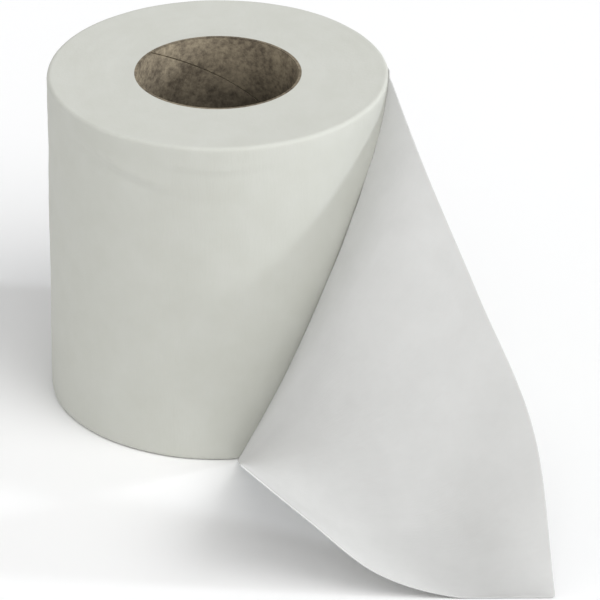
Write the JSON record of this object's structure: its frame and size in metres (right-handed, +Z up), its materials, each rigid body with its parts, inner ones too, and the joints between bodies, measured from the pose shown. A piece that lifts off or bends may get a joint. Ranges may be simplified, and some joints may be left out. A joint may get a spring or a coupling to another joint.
{
  "type": "toilet paper roll",
  "caption": "Toilet paper roll standing on end, with a cardboard core and the free end of its web peeled off and draped forward.",
  "frame": {"origin": "centre of the roll's base, on the core's axis", "axes": "+Z up the core's axis, -Y to the front, where the peeled end of the web lies, +X to the right"},
  "size_m": [0.1395, 0.1749, 0.098],
  "materials": {
    "tissue": "matte creped and embossed tissue",
    "core_board": "matte spiral-wound grey board"
  },
  "bodies": {
    "root": {"paper_web": "tissue", "cardboard_core": "core_board"}
  },
  "joints": []
}
